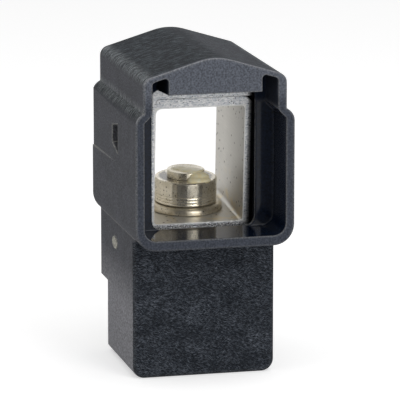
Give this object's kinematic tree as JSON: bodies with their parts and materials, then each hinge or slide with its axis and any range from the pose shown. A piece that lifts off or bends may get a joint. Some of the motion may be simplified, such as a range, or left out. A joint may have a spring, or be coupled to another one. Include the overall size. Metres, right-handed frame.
{
  "type": "mechanical lug",
  "caption": "Clip-on mechanical lug for one bare conductor: folded steel clamp with threaded bush, screw and pressure pad in a moulded insulating housing with a screw stem.",
  "frame": {"origin": "under the middle of the whole part, in the plane of the stem's foot", "axes": "+Z from the foot of the stem to the roof, -Y the side that the conductor goes in from, +X to the right seen from that side"},
  "size_m": [0.026, 0.0324, 0.0535],
  "materials": {
    "housing_plastic": "moulded glass-filled polyamide with fine surface fibres",
    "cage_steel": "tin-plated folded strip with sheared edges",
    "bush_steel": "turned and plated",
    "screw_steel": "zinc-plated, riveted end turned",
    "pad_steel": "turned and plated, lightly greased"
  },
  "bodies": {
    "lug_body": {"housing": "housing_plastic", "clamp_cage": "cage_steel", "threaded_bush": "bush_steel"},
    "pad_body": {"pressure_pad": "pad_steel"},
    "screw_body": {"clamp_screw": "screw_steel"}
  },
  "joints": [
    {"name": "pad_rise", "type": "slide", "parent": "lug_body", "child": "pad_body", "axis": [0, -0.0774, 0.997], "range_m": [0, 0.0125]},
    {"name": "screw_turn", "type": "hinge", "parent": "pad_body", "child": "screw_body", "pos_m": [0, 0.00467, 0.02539], "axis": [0, -0.0774, 0.997], "range_deg": [0, 3600]}
  ],
  "couplings": [
    {"joint": "screw_turn", "follows": "pad_rise", "rad_per_m": 5026.5}
  ]
}
